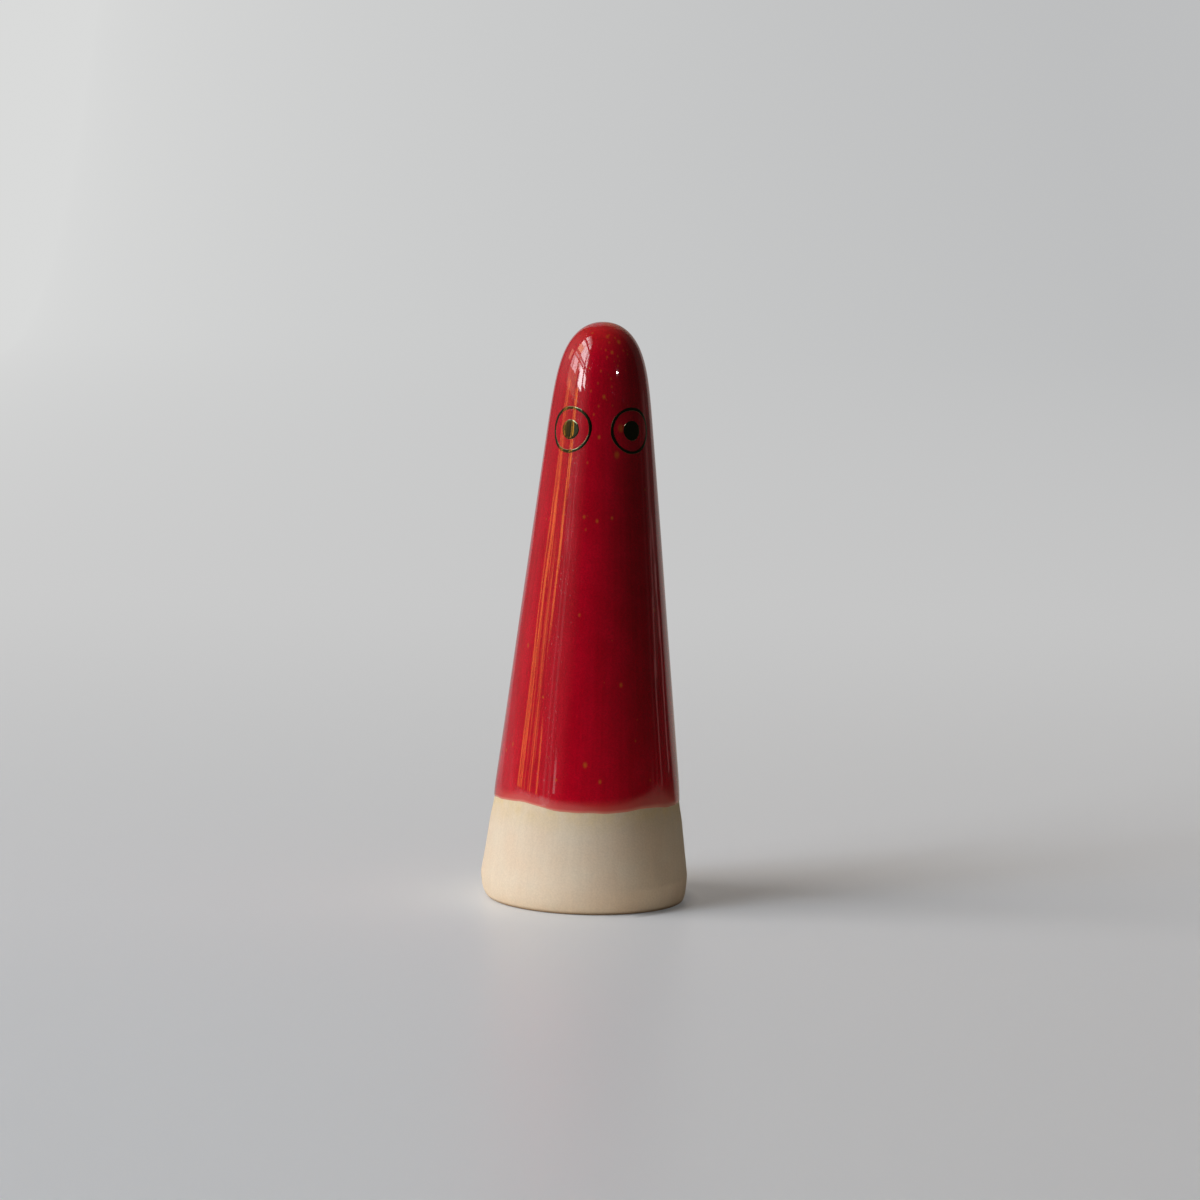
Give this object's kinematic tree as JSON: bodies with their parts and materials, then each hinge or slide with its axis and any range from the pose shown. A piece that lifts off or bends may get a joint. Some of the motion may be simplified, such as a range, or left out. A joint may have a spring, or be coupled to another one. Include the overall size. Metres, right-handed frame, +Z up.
{
  "type": "ceramic ghost figurine",
  "caption": "Small hollow ceramic ghost: a slim domed cone in red glaze over a bare clay foot, with ring-and-dot eyes near the tip.",
  "frame": {"origin": "centre of the foot's flat underside, on the surface that the ghost stands on", "axes": "+Z up towards the tip, -Y the way the eyes look, +X to the viewer's right when the ghost faces the viewer"},
  "size_m": [0.04, 0.04, 0.1115],
  "materials": {
    "raw_clay": "unglazed cream stoneware, dry and matt, with fine turning marks",
    "red_glaze": "thick deep red glaze, high gloss, with small orange specks and a paler rolled edge",
    "dark_lustre": "thin fired-on dark bronze lustre, glossy and slightly metallic"
  },
  "bodies": {
    "root": {"clay_body": "raw_clay", "red_glaze": "red_glaze", "left_eye_ring": "dark_lustre", "left_pupil": "dark_lustre", "right_eye_ring": "dark_lustre", "right_pupil": "dark_lustre"}
  },
  "joints": []
}
